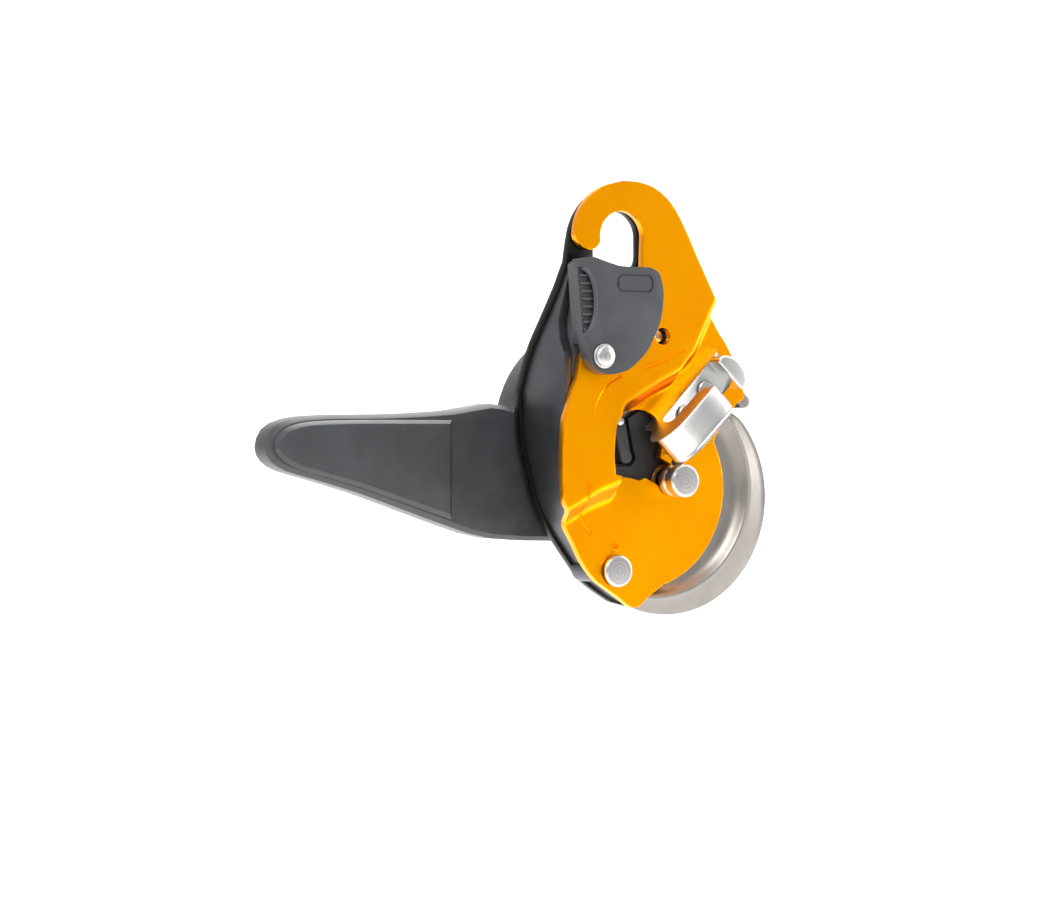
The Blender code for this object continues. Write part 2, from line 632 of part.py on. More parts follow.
def make_brake():
    bar = [(20.6, -16.0), (10, -15.3), (0, -14.5), (-3.6, -12.9), (-6.3, -10), (-6.4, -8.2), (-4.4, -6.4)]
    leg = [(-1.6, -5.6), (-1.0, -3.5), (-1.0, 4.2), (31.2, 4.2), (31.6, 3.6), (37.8, 3.6)]
    lip = [(38.6, 2.6), (39.2, -2.4), (38.4, -4.6), (36.6, -5.8), (33.4, -6.0), (31.0, -4.8), (30.4, 0.2)]
    inner = [(4.5, 0.2), (1.2, -2.2), (0.5, -6.5), (1.6, -9.2), (4, -10.3), (20.6, -11.8)]
    work = bmesh.new()
    half = BRAKE_WIDTH / 2
    near = []
    for s, y in bar + leg + lip + inner:
        x, z = brake_place(s, -half)
        near.append(work.verts.new(point(x, y, z)))
    side = work.faces.new(near)
    moved = bmesh.ops.extrude_face_region(work, geom=[side])["geom"]
    far = [v for v in moved if isinstance(v, bmesh.types.BMVert)]
    x0, z0 = brake_place(0, -half)
    x1, z1 = brake_place(0, half)
    bmesh.ops.translate(work, verts=far, vec=point(x1 - x0, 0, z1 - z0))
    brake = finish_mesh("auxiliary_brake", work, BRIGHT)
    for s, label in zip(BRAKE_RIVETS, ("lower", "upper")):
        place = brake_place(s, 0)
        cut(brake, rod("rivet_bore", place, BRAKE_RIVET_R + CLEARANCE, -3, FAR, count=20))
        end = LOW_BACK - 0.2
        head = [(-1.0, 0), (-0.8, 2.6), (-0.1, 3.2), (-0.1, BRAKE_RIVET_R), (end, BRAKE_RIVET_R), (end, 0)]
        lathe("brake_rivet_" + label, place, head, BRIGHT, 24)
    return brake


def make_stop_pin():
    pin = rod("stop_pin", STOP_PIN, STOP_PIN_R, FRONT_RAISED + PLATE + 0.8, BEHIND, BRIGHT, 24)
    return cut(pin, behind_plate("rear_gap", CLEARANCE))


def handle_outline():
    hub = arc(HANDLE_PIVOT, HANDLE_HUB_R, 167, -100, 44)
    under = fair([hub[-1], (-3.3, -105.5), (-29.8, -104.3), (-46, -100), (-64, -94), (-82, -88), (-99, -83.3)], 2)
    tip = fair([(-99, -83.3), (-109, -80.6), (-114.8, -77.2), (-116.8, -72.5), (-114.5, -66.4), (-107.4, -62.8),
                (-95, -61.4), (-70, -61), (-45, -59.6), (-30, -57.2), hub[0]], 2)
    return hub[:-1] + under[:-1] + tip[:-1]


def make_handle():
    rear = HANDLE_FRONT + HANDLE_DEPTH
    lever = prism("handle_lever", handle_outline(), HANDLE_FRONT, rear, GREY, 1.6)
    grip = fair([(-46, -97.5), (-64, -91.8), (-82, -86), (-99, -81.6), (-107, -79.2), (-112.6, -75.8),
                 (-114.4, -72), (-112.2, -67.4), (-106, -64.6), (-95, -63.4), (-70, -63), (-46, -63)], 2)
    join(lever, prism("grip", grip, rear - GRIP_DEPTH, rear + 1.0, None, 1.4))
    well = rear - BUTTON_FOOT - BUTTON_TRAVEL - CLEARANCE
    cut(lever, drill(HANDLE_PIVOT, SHAFT_R + CLEARANCE))
    cut(lever, rod("cap_recess", HANDLE_PIVOT, 15.0, rear - 2.2, FAR, count=40))
    cut(lever, rod("button_well", BUTTON, BUTTON_R + 0.35, well, FAR))
    cut(lever, rod("spring_well", BUTTON, 4.0, well - 2.8, FAR))
    cap = [(rear - 1.9, 2.9), (rear - 1.9, 14.6), (rear + 0.2, 14.6), (rear + 1.0, 13.4), (rear + 1.0, 2.9)]
    lathe("handle_hub_cap", HANDLE_PIVOT, cap, GREY, 40)
    screw = [(HANDLE_FRONT + 0.5, 0), (HANDLE_FRONT + 0.5, 2.1), (rear + 1.3, 2.1), (rear + 1.3, 5.0)]
    screw += [(rear + 2.4, 5.0), (rear + 3.0, 4.2), (rear + 3.0, 0)]
    lathe("handle_screw", HANDLE_PIVOT, screw, BRIGHT, 36)
    face = rear + 3.0
    foot = rear - BUTTON_FOOT
    button = [(foot, 3.8), (foot, BUTTON_R), (face - 0.6, BUTTON_R), (face, BUTTON_R - 0.7)]
    button += [(face, 0), (rear - 0.2, 0), (rear - 0.2, 3.8)]
    lathe("handle_button", BUTTON, button, RED, 36)
    coil = [(well - 2.5, 2.4), (well - 2.5, 3.5), (foot + 0.2, 3.5), (foot + 0.2, 2.4)]
    lathe("button_spring", BUTTON, coil, SPRING, 28)
    return lever


def shade(item):
    for face in item.data.polygons:
        face.use_smooth = True
    bpy.ops.object.select_all(action="DESELECT")
    item.select_set(True)
    bpy.context.view_layer.objects.active = item
    item.data.set_sharp_from_angle(angle=math.radians(30))


def hang(names, label, place):
    """Parents these pieces to an empty on their joint's axis."""
    axis = bpy.data.objects.new(label, None)
    axis.location = point(place[0], 0, place[1])
    bpy.context.scene.collection.objects.link(axis)
    bpy.context.view_layer.update()
    for name in names:
        item = bpy.data.objects[name]
        item.parent = axis
        item.matrix_parent_inverse = axis.matrix_world.inverted()


clear_scene()
make_fixed_plate()
make_side_wall()
make_guide_block()
make_friction_shoe()
make_axle()
make_cam()
make_catch()
make_crank()
make_pivot()
make_moving_plate()
make_gate()
make_brake()
make_stop_pin()
make_handle()
for each in list(bpy.data.objects):
    shade(each)
hang(["moving_side_plate", "auxiliary_brake", "brake_rivet_lower", "brake_rivet_upper", "gate_rivet"],
     "side_plate_axis", PIVOT)
hang(["gate", "gate_washer", "gate_spring"], "gate_axis", GATE_PIVOT)
hang(["cam_pulley", "cam_shield", "cam_bush", "catch_pin"], "cam_axis", AXLE)
hang(["anti_error_catch"], "catch_axis", CATCH_PIVOT)
hang(["handle_lever", "handle_hub_cap", "handle_shaft", "handle_crank", "handle_screw"], "handle_axis", HANDLE_PIVOT)
hang(["handle_button"], "button_axis", BUTTON)
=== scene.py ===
# %% [markdown]
# The object is a self-braking rope descender. Its working parts are already modelled to size, so the first
# step is to load them as a fixed frame. Everything made below is placed from that frame and rides on it.
# %% Load the frame
import json
import math

import bmesh
import bpy
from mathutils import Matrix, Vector


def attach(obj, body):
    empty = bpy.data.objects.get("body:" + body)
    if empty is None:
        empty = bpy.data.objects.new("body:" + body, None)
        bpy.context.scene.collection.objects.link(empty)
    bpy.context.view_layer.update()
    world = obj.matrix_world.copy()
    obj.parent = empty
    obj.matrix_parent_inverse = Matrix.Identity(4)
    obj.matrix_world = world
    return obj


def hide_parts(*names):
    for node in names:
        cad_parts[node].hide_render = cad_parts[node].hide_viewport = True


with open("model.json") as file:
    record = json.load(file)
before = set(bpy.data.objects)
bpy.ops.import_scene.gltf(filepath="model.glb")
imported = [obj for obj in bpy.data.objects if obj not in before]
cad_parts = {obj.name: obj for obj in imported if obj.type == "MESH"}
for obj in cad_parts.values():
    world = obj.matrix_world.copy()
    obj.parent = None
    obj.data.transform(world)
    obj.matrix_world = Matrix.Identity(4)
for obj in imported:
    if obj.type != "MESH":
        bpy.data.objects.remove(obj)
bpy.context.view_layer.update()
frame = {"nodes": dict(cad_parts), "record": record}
MM = 0.001

# %% [markdown]
# Two small helpers serve every material. Colours are picked as the hex values a painter would write down,
# and one function turns them to the linear numbers that the shader wants. The other adds a node, sets its
# inputs and joins its links in one call, which keeps each recipe short enough to read.
# %% Colour and node helpers


def colour(code):
    parts = [int(code[i:i + 2], 16) / 255 for i in (0, 2, 4)]
    linear = [c / 12.92 if c <= 0.04045 else ((c + 0.055) / 1.055) ** 2.4 for c in parts]
    return (*linear, 1.0)


def add_node(tree, kind, values=None, links=None, **settings):
    node = tree.nodes.new(kind)
    for key, value in settings.items():
        setattr(node, key, value)
    for key, value in (values or {}).items():
        node.inputs[key].default_value = value
    for key, source in (links or {}).items():
        tree.links.new(source, node.inputs[key])
    return node


def start_material(name, base, metallic, roughness):
    made = bpy.data.materials.new(name)
    made.use_nodes = True
    tree = made.node_tree
    shader = tree.nodes["Principled BSDF"]
    shader.inputs["Base Color"].default_value = colour(base)
    shader.inputs["Metallic"].default_value = metallic
    shader.inputs["Roughness"].default_value = roughness
    place = add_node(tree, "ShaderNodeTexCoord").outputs["Object"]
    return made, tree, shader, place


def ramp(tree, source, stops):
    node = add_node(tree, "ShaderNodeValToRGB", links={"Fac": source})
    elements = node.color_ramp.elements
    for index, (position, code) in enumerate(stops):
        element = elements[index] if index < 2 else elements.new(position)
        element.position = position
        element.color = colour(code)
    return node.outputs["Color"]


def roughen(tree, shader, source, low, high):
    spread = add_node(tree, "ShaderNodeMapRange", {"To Min": low, "To Max": high}, {"Value": source})
    tree.links.new(spread.outputs["Result"], shader.inputs["Roughness"])


def bump(tree, shader, source, height_mm, strength):
    values = {"Distance": height_mm * MM, "Strength": strength}
    node = add_node(tree, "ShaderNodeBump", values, {"Height": source})
    tree.links.new(node.outputs["Normal"], shader.inputs["Normal"])


print("helpers ready, gold reads as", [round(c, 3) for c in colour("F7A600")])

# %% [markdown]
# Anodised aluminium is a dyed, glass-hard skin on satin metal. The dye makes the reflections themselves
# gold, so it is a metal with a coloured base. A fine uneven roughness of about a millimetre keeps the
# highlights from looking like plastic, and a much finer bump stands for the blasted skin under the dye.
# %% Anodised aluminium


def anodised(name, base, darker, low, high):
    made, tree, shader, place = start_material(name, base, 1.0, low)
    cloud = add_node(tree, "ShaderNodeTexNoise", {"Scale": 1 / (22 * MM), "Detail": 3.0}, {"Vector": place})
    grain = add_node(tree, "ShaderNodeTexNoise", {"Scale": 1 / (0.5 * MM), "Detail": 2.0}, {"Vector": place})
    tint = ramp(tree, cloud.outputs["Fac"], [(0.3, darker), (0.62, base)])
    tree.links.new(tint, shader.inputs["Base Color"])
    roughen(tree, shader, grain.outputs["Fac"], low, high)
    bump(tree, shader, grain.outputs["Fac"], 0.02, 0.25)
    return made


GOLD = anodised("gold_anodised_aluminium", "FFA600", "FA9C00", 0.26, 0.38)
BLACK = anodised("black_anodised_aluminium", "2C2C2A", "232321", 0.30, 0.44)
WALL_GREY = anodised("grey_anodised_aluminium", "5B5C60", "4C4D50", 0.34, 0.46)
print("made", GOLD.name, BLACK.name)

# %% [markdown]
# The cam is investment-cast stainless steel, tumbled and bead blasted: grey, satin, with a fine peened
# grain. Heads, pins and the brake are turned or pressed from bright steel. Turning leaves rings about the
# axis, so that finish measures the distance from the piece's own axis and makes ridges from it.
# %% Stainless steel


def blasted_steel(name, base, darker):
    made, tree, shader, place = start_material(name, base, 1.0, 0.38)
    cloud = add_node(tree, "ShaderNodeTexNoise", {"Scale": 1 / (12 * MM), "Detail": 4.0}, {"Vector": place})
    grain = add_node(tree, "ShaderNodeTexNoise", {"Scale": 1 / (0.45 * MM), "Detail": 3.0}, {"Vector": place})
    tint = ramp(tree, cloud.outputs["Fac"], [(0.3, darker), (0.7, base)])
    tree.links.new(tint, shader.inputs["Base Color"])
    roughen(tree, shader, grain.outputs["Fac"], 0.30, 0.46)
    bump(tree, shader, grain.outputs["Fac"], 0.03, 0.45)
    return made


def polished_steel(name, base, rough):
    made, tree, shader, place = start_material(name, base, 1.0, rough)
    stretch = add_node(tree, "ShaderNodeMapping", {"Scale": (1.0, 1.0, 6.0)}, {"Vector": place})
    lines = add_node(tree, "ShaderNodeTexNoise", {"Scale": 1 / (1.2 * MM), "Detail": 4.0},
                     {"Vector": stretch.outputs["Vector"]})
    roughen(tree, shader, lines.outputs["Fac"], rough - 0.03, rough + 0.05)
    bump(tree, shader, lines.outputs["Fac"], 0.004, 0.15)
    return made


def turned_steel(name, base, axis):
    made, tree, shader, place = start_material(name, base, 1.0, 0.27)
    centre = add_node(tree, "ShaderNodeMapping", {"Location": (-axis[0] * MM, 0.0, -axis[1] * MM),
                                                  "Scale": (1.0, 0.0, 1.0)}, {"Vector": place})
    reach = add_node(tree, "ShaderNodeVectorMath", None, {0: centre.outputs["Vector"]}, operation="LENGTH")
    rings = add_node(tree, "ShaderNodeMath", {1: 2 * math.pi / (1.4 * MM)}, {0: reach.outputs["Value"]},
                     operation="MULTIPLY")
    wave = add_node(tree, "ShaderNodeMath", None, {0: rings.outputs["Value"]}, operation="SINE")
    roughen(tree, shader, wave.outputs["Value"], 0.27, 0.33)
    bump(tree, shader, wave.outputs["Value"], 0.008, 0.2)
    return made


CAST = blasted_steel("bead_blasted_cast_stainless", "8E8A85", "7F7B76")
POLISHED = polished_steel("polished_pressed_stainless", "C2C1BF", 0.28)
SPRING = polished_steel("drawn_spring_steel", "8C8C8E", 0.3)
print("made", CAST.name, POLISHED.name, SPRING.name)

# %% [markdown]
# The gate and lever are glass-filled nylon moulded in a spark-textured tool. It is dark, never quite black,
# with a soft broad gloss. The texture is drawn at 0.4 mm, coarser than a moulding's 0.1 mm, so that it
# shows at this size. The bearings are sintered bronze, speckled by their pores, and the button is red nylon.
# %% Nylon and bronze


def moulded_nylon(name, base, paler, rough):
    made, tree, shader, place = start_material(name, base, 0.0, rough)
    cloud = add_node(tree, "ShaderNodeTexNoise", {"Scale": 1 / (9 * MM), "Detail": 3.0}, {"Vector": place})
    grain = add_node(tree, "ShaderNodeTexVoronoi", {"Scale": 1 / (0.4 * MM)}, {"Vector": place})
    tint = ramp(tree, cloud.outputs["Fac"], [(0.35, base), (0.8, paler)])
    tree.links.new(tint, shader.inputs["Base Color"])
    roughen(tree, shader, grain.outputs["Distance"], rough - 0.06, rough + 0.08)
    bump(tree, shader, grain.outputs["Distance"], 0.04, 0.3)
    return made


def sintered_bronze(name, base, pores):
    made, tree, shader, place = start_material(name, base, 1.0, 0.4)
    specks = add_node(tree, "ShaderNodeTexNoise", {"Scale": 1 / (0.6 * MM), "Detail": 5.0}, {"Vector": place})
    tint = ramp(tree, specks.outputs["Fac"], [(0.42, pores), (0.55, base)])
    tree.links.new(tint, shader.inputs["Base Color"])
    bump(tree, shader, specks.outputs["Fac"], 0.03, 0.4)
    return made


NYLON = moulded_nylon("glass_filled_nylon", "303235", "393B3F", 0.40)
# The cam guard is made near black so that it paints the shade seen inside the plate's window.
PAINTED_SHADE_NYLON = moulded_nylon("black_guard_painted_shade", "141516", "1B1C1E", 0.5)
LEVER = moulded_nylon("lever_nylon", "2D2F32", "36393C", 0.38)
RED = moulded_nylon("red_nylon", "8E1B14", "A1241B", 0.42)
BRONZE = sintered_bronze("sintered_bronze", "B08244", "6F4E25")
print("made", NYLON.name, LEVER.name, RED.name, BRONZE.name)

# %% [markdown]
# Every engineered solid has knife-sharp edges, and nothing real has. This helper copies a CAD piece, merges
# its loose triangles, clears the edges inside its flat faces, and rounds what is left by the width given.
# The copy rides on the same body and stands for the CAD piece.
# %% Rounding helper
BODY_OF = {}
for body, members in frame["record"]["behaviour"]["bodies"].items():
    for member in members:
        BODY_OF[member] = body


def only(item):
    bpy.ops.object.select_all(action="DESELECT")
    item.select_set(True)
    bpy.context.view_layer.objects.active = item


def linked(name, mesh):
    item = bpy.data.objects.new(name, mesh)
    bpy.context.scene.collection.objects.link(item)
    return item


def from_loops(name, loops, closed):
    """Joins loops of corners into a skin, either closed on itself or capped at its ends."""
    work = bmesh.new()
    made = [[work.verts.new(corner) for corner in loop] for loop in loops]
    pairs = list(zip(made, made[1:]))
    if closed:
        pairs.append((made[-1], made[0]))
    else:
        work.faces.new(made[0])
        work.faces.new(made[-1])
    for near, far in pairs:
        for i in range(len(near)):
            j = (i + 1) % len(near)
            work.faces.new([near[i], near[j], far[j], far[i]])
    bmesh.ops.recalc_face_normals(work, faces=work.faces)
    mesh = bpy.data.meshes.new(name)
    work.to_mesh(mesh)
    work.free()
    return linked(name, mesh)


def extrude(item, shift):
    """Thickens a flat mesh into a solid, and turns all its faces outward."""
    only(item)
    bpy.ops.object.mode_set(mode="EDIT")
    bpy.ops.mesh.select_all(action="SELECT")
    bpy.ops.mesh.extrude_region_move(TRANSFORM_OT_translate={"value": shift})
    bpy.ops.mesh.select_all(action="SELECT")
    bpy.ops.mesh.normals_make_consistent(inside=False)
    bpy.ops.object.mode_set(mode="OBJECT")


def join(name, items):
    bpy.ops.object.select_all(action="DESELECT")
    for item in items:
        item.select_set(True)
    bpy.context.view_layer.objects.active = items[0]
    bpy.ops.object.join()
    bpy.context.object.name = name
    return bpy.context.object


def shade(item):
    only(item)
    bpy.ops.object.shade_smooth_by_angle(angle=math.radians(38))


def apply_all(item):
    only(item)
    for change in list(item.modifiers):
        bpy.ops.object.modifier_apply(modifier=change.name)


def soften(item, width_mm, segments, angle):
    if width_mm:
        edge = item.modifiers.new("rounding", "BEVEL")
        edge.width = width_mm * MM
        edge.segments = segments
        edge.limit_method = "ANGLE"
        edge.angle_limit = math.radians(angle)
        edge.harden_normals = False
        apply_all(item)
    shade(item)


def paint(item, material):
    item.data.materials.clear()
    item.data.materials.append(material)


def refine(node, material, width_mm=0.4, segments=3, angle=32):
    source = frame["nodes"][node]
    item = linked(node + "_finished", source.data.copy())
    only(item)
    bpy.ops.object.mode_set(mode="EDIT")
    bpy.ops.mesh.select_all(action="SELECT")
    bpy.ops.mesh.remove_doubles(threshold=0.000002)
    bpy.ops.mesh.normals_make_consistent(inside=False)
    bpy.ops.mesh.dissolve_limited(angle_limit=math.radians(0.6))
    bpy.ops.object.mode_set(mode="OBJECT")
    soften(item, width_mm, segments, angle)
    paint(item, material)
    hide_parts(node)
    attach(item, BODY_OF[node])
    print(node, "refined to", len(item.data.polygons), "faces")
    return item


# %% [markdown]
# Outlines are worked in millimetres on the plates' own plane. Round stretches are arcs, and free curves are
# a few points with a smooth line through them.
# %% Outline helpers


def arc(centre, radius, start, end, count):
    steps = [math.radians(start + (end - start) * i / count) for i in range(count + 1)]
    return [(centre[0] + radius * math.cos(a), centre[1] + radius * math.sin(a)) for a in steps]


def fair(points, steps=6):
    out = []
    for i in range(len(points) - 1):
        p0 = points[max(i - 1, 0)]
        p1 = points[i]
        p2 = points[i + 1]
        p3 = points[min(i + 2, len(points) - 1)]
        for k in range(steps):
            t = k / steps
            out.append(tuple(
                0.5 * (2 * b + (c - a) * t + (2 * a - 5 * b + 4 * c - d) * t * t
                       + (3 * b - a - 3 * c + d) * t ** 3)
                for a, b, c, d in zip(p0, p1, p2, p3)))
    return out + [tuple(points[-1])]


def smooth(t):
    t = min(max(t, 0.0), 1.0)
    return t * t * (3 - 2 * t)


def along(points, value):
    if value <= points[0][0]:
        return points[0][1]
    for (a, p), (b, q) in zip(points, points[1:]):
        if value <= b:
            return p + (q - p) * (value - a) / (b - a)
    return points[-1][1]


def slab(name, outline, y0, y1):
    """A flat blank of this outline, extruded from one depth to the other."""
    mesh = bpy.data.meshes.new(name)
    corners = [(x * MM, y0 * MM, z * MM) for x, z in outline]
    mesh.from_pydata(corners, [], [list(range(len(corners)))])
    item = linked(name, mesh)
    extrude(item, (0, (y1 - y0) * MM, 0))
    return item


def combine(item, other, operation):
    change = item.modifiers.new("combine", "BOOLEAN")
    change.operation = operation
    change.object = other
    change.solver = "EXACT"
    apply_all(item)
    bpy.data.objects.remove(other, do_unlink=True)
    return item


print("outline helpers ready")

# %% [markdown]
# The moving plate is a 3 mm blank pressed in one stroke, so its lower right half sits 8.5 mm behind the rest.
# A fine grid is pushed back by a formula, given its thickness, and then trimmed to the outline. Trimming last
# gives clean cut edges, as a real blanking tool would.
# %% The pressed shape of the moving plate
PLATE = 3.0
PIVOT = (2.7, -115.3)
AXLE = (25.6, -84.1)
GATE_PIVOT = (-10.8, -41.4)
STOP_PIN = (16.5, -34.0)
HANDLE_PIVOT = (15.0, -67.0)
CATCH_PIVOT = (7.5, -63.5)
BRAKE_BEND = (20.0, -69.3)
BRAKE_ANGLE = math.radians(46.0)
RAISED = -4.0
PRESSED = 8.5


def on_brake(x, z):
    """How far a place lies along the brake bar, and to its right."""
    s = (x - BRAKE_BEND[0]) * math.cos(BRAKE_ANGLE) + (z - BRAKE_BEND[1]) * math.sin(BRAKE_ANGLE)
    t = (x - BRAKE_BEND[0]) * math.sin(BRAKE_ANGLE) - (z - BRAKE_BEND[1]) * math.cos(BRAKE_ANGLE)
    return s, t


def setback(x, z):
    left = along([(-30, -101), (-20, -96.5), (-8, -90.2), (0, -87.5), (5, -82.5)], x)
    lower = smooth((left - z + 4) / 8) * (1 - smooth((x - 3) / 3))
    rim = along([(-1, -62), (8, -56.5), (17, -51.5), (24.5, -48), (28, -43.5), (33, -41),
                 (38, -38)], x)
    upper = smooth((rim - z + 3.5) / 7) * smooth((x - 0.2) / 2.6)
    low = smooth((-94 - z) / 4) * smooth((x + 9.5) / 3)
    right = smooth((x - 52 - z / 2 + 3.5) / 7)
    s, t = on_brake(x, z)
    pocket = smooth(min(s + 9, 41 - s, 10.5 - abs(t)) / 3)
    return 1 - (1 - lower) * (1 - upper) * (1 - low) * (1 - right) * (1 - pocket)


def plate_depth(x, z):
    return RAISED + PRESSED * setback(x, z)


print("the plate is pressed back", PRESSED, "mm")

# %% Make the moving plate


def moving_outline():
    top = arc((0, 0), 18.6, 180, 105, 24)
    right = fair([(-4.8, 18), (2.7, 19.2), (9.8, 18.4), (15.7, 15.8), (21.1, 10.8), (26, 3), (32.2, -9),
                  (38.5, -20.7), (44.5, -31), (48.2, -36), (52.5, -44), (55.7, -53)])[1:]
    corner = fair([(55.7, -53), (55.4, -55.3), (53.2, -56.6), (49.5, -60.5), (46, -65)])[1:-1]
    low = arc((11.75, -86.7), 35.2, 27.6, -72.7, 60)
    tip = fair([(22.3, -120.3), (16, -124.5), (12, -127.8), (8.8, -127.9), (4.7, -125.1), (-0.2, -121.9),
                (-5.8, -118), (-10.7, -112), (-13.9, -106.1), (-17.1, -100.6), (-18.2, -97.5),
                (-20.8, -94.4), (-22.9, -91), (-23.3, -86.4), (-23.7, -79.2), (-23.5, -70.1),
                (-22.9, -63.2), (-21.3, -58.5), (-19.7, -53), (-17.8, -48.2), (-16.4, -42.4)])[1:]
    mouth = [(-15.5, -40), (2, -18), (7.2, -14.2), (8.4, -10.3)]
    hole = arc((0, 0), 8.8, -8, 190, 48)
    horn = fair([(-9.3, -3.0), (-11.2, -4.5), (-13.4, -4.8), (-16.6, -3.4), (-18.4, -1.2)])[:-1]
    return top[:-1] + right + corner + low + tip + mouth + hole + horn


def window_outline():
    reach = math.hypot(AXLE[0] - PIVOT[0], AXLE[1] - PIVOT[1])
    start = math.degrees(math.atan2(AXLE[1] - PIVOT[1], AXLE[0] - PIVOT[0]))
    end = arc(AXLE, 4.5, start + 180, start + 360, 24)
    lower = arc(PIVOT, reach - 4.5, 70, start + 1, 12)[:-1]
    inner = arc(PIVOT, 32.6, 92, 73, 14)
    left = fair([(-2.5, -81.9), (-3.1, -75.5), (-2.6, -68.5), (-1.7, -64.2), (1.1, -61.1), (6.4, -60),
                 (14, -59.5), (20, -63), (22, -69), (21, -75.5)], 5)
    upper = arc(PIVOT, reach + 4.5, start + 11, start + 1, 6)
    return left + upper + list(reversed(end))[1:-1] + list(reversed(lower)) + list(reversed(inner))


columns = 104
rows = 190
bpy.ops.object.select_all(action="DESELECT")
bpy.ops.mesh.primitive_grid_add(x_subdivisions=columns, y_subdivisions=rows, size=1)
plate = bpy.context.object
plate.name = "moving_plate_pressed"
for vertex in plate.data.vertices:
    x = 16.0 + vertex.co.x * 84
    z = -54.5 + vertex.co.y * 152
    vertex.co = (x * MM, plate_depth(x, z) * MM, z * MM)
extrude(plate, (0, PLATE * MM, 0))
combine(plate, slab("outline", moving_outline(), -20, 20), "INTERSECT")
combine(plate, slab("window", window_outline(), -21, 21), "DIFFERENCE")
for centre, radius in ((PIVOT, 2.75), (GATE_PIVOT, 2.3), (STOP_PIN, 3.0)):
    combine(plate, slab("hole", arc(centre, radius, 0, 351, 39), -22, 22), "DIFFERENCE")
soften(plate, 0.45, 2, 50)
paint(plate, GOLD)
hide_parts("moving_side_plate")
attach(plate, "side_plate")
print("moving plate has", len(plate.data.polygons), "faces")

# %% [markdown]
# The cam is one casting with a sheave-like groove. Its front flange is a shallow dish with a thin ridge, and
# outside the ridge the rim falls back as a cone. Ridge and rim are two circles about different centres, so
# the cone widens towards the bottom. The rings are worked out by the formula of an off-centre circle.
# %% The cam
RIM = (28.2, -90.1, 41.2)
RIDGE = (21.7, -86.8, 38.3)


def eccentric(circle_of, angle):
    dx = circle_of[0] - AXLE[0]
    dz = circle_of[1] - AXLE[1]
    reach = dx * math.cos(angle) + dz * math.sin(angle)
    across = dx * math.sin(angle) - dz * math.cos(angle)
    return reach + math.sqrt(circle_of[2] ** 2 - across ** 2)


def rim_radius(degrees):
    full = eccentric(RIM, math.radians(degrees))
    shown = smooth((degrees + 121) / 13) * (1 - smooth((degrees - 31) / 26))
    return 34.5 + (full - 34.5) * shown


def ridge_radius(degrees):
    return min(eccentric(RIDGE, math.radians(degrees)), rim_radius(degrees) - 1.6)


def cam_sections(degrees):
    """The cam's section at this angle, as (depth, radius), round its closed loop."""
    rim = rim_radius(degrees)
    ridge = ridge_radius(degrees)
    dish = [(11.0, 6.2), (11.0, 19.0), (11.0, ridge - 9), (11.0, ridge - 6)]
    dish += [(10.75, ridge - 4.4), (10.2, ridge - 3.0), (9.3, ridge - 1.8), (8.45, ridge - 0.85)]
    lip = [(8.08, ridge - 0.35), (8.0, ridge), (8.1, ridge + 0.35), (8.45, ridge + 0.75)]
    cone = [(8.9, ridge + 0.25 * (rim - ridge)), (9.9, ridge + 0.65 * (rim - ridge)), (10.9, rim - 0.35)]
    back = [(11.2, rim - 0.08), (11.5, rim), (12.3, rim), (12.7, rim - 0.25), (12.85, rim - 0.8)]
    groove = [(13.3, 28.2), (14.2, 26.9), (15.4, 26.35), (18.0, 26.0), (20.6, 26.35), (21.9, 26.9)]
    groove.append((22.8, 28.2))
    rear = [(23.25, 33.2), (23.6, 33.7), (24.4, 33.7), (24.8, 33.3), (24.8, 6.2)]
    return dish + lip + cone + back + groove + rear


TURNS = 240
rings = []
for step in range(TURNS):
    degrees = -180 + 360 * step / TURNS
    a = math.radians(degrees)
    ring = []
    for depth, radius in cam_sections(degrees):
        spot = Vector((AXLE[0] + radius * math.cos(a), depth, AXLE[1] + radius * math.sin(a)))
        ring.append(spot * MM)
    rings.append(ring)
cam = from_loops("cam_cast", rings, True)
combine(cam, slab("bite", arc(PIVOT, 10.5, 0, 354, 59), 0, 40), "DIFFERENCE")
swing = math.radians(15)
tail = (CATCH_PIVOT[0] + 2.5, CATCH_PIVOT[1] - 12.5)
far_tail = (CATCH_PIVOT[0] + 2.5 * math.cos(swing) - 12.5 * math.sin(swing),
            CATCH_PIVOT[1] - 2.5 * math.sin(swing) - 12.5 * math.cos(swing))
pocket = arc(CATCH_PIVOT, 4.0, 60, 200, 16) + arc(far_tail, 3.2, 190, 260, 8)
pocket += arc(tail, 3.2, 260, 400, 16)
combine(cam, slab("catch_pocket", pocket, 6, 14.2), "DIFFERENCE")
combine(cam, slab("catch_pin_hole", arc(CATCH_PIVOT, 1.8, 0, 345, 23), 8, 17.5), "DIFFERENCE")
arm = (Vector(HANDLE_PIVOT) - Vector(AXLE)).normalized()
beside = Vector((arm.y, -arm.x))
for side in (-1, 1):
    corners = []
    for reach, gap in ((14, 8), (27, 8), (27, 11), (14, 11)):
        corners.append(tuple(Vector(AXLE) + arm * reach + beside * side * gap))
    combine(cam, slab("crank_prong", corners, 23.8, 27.3), "UNION")
soften(cam, 0, 1, 30)
paint(cam, CAST)
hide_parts("cam_pulley")
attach(cam, "cam")
print("cam has", len(cam.data.polygons), "faces")

# %% [markdown]
# The gate is a moulding with a flat face and rounded edges. Its outline is extruded to the gate's own
# thickness and its edges are rounded. A hollow for the thumb and the outline of a blank panel are then cut.
# %% The gate


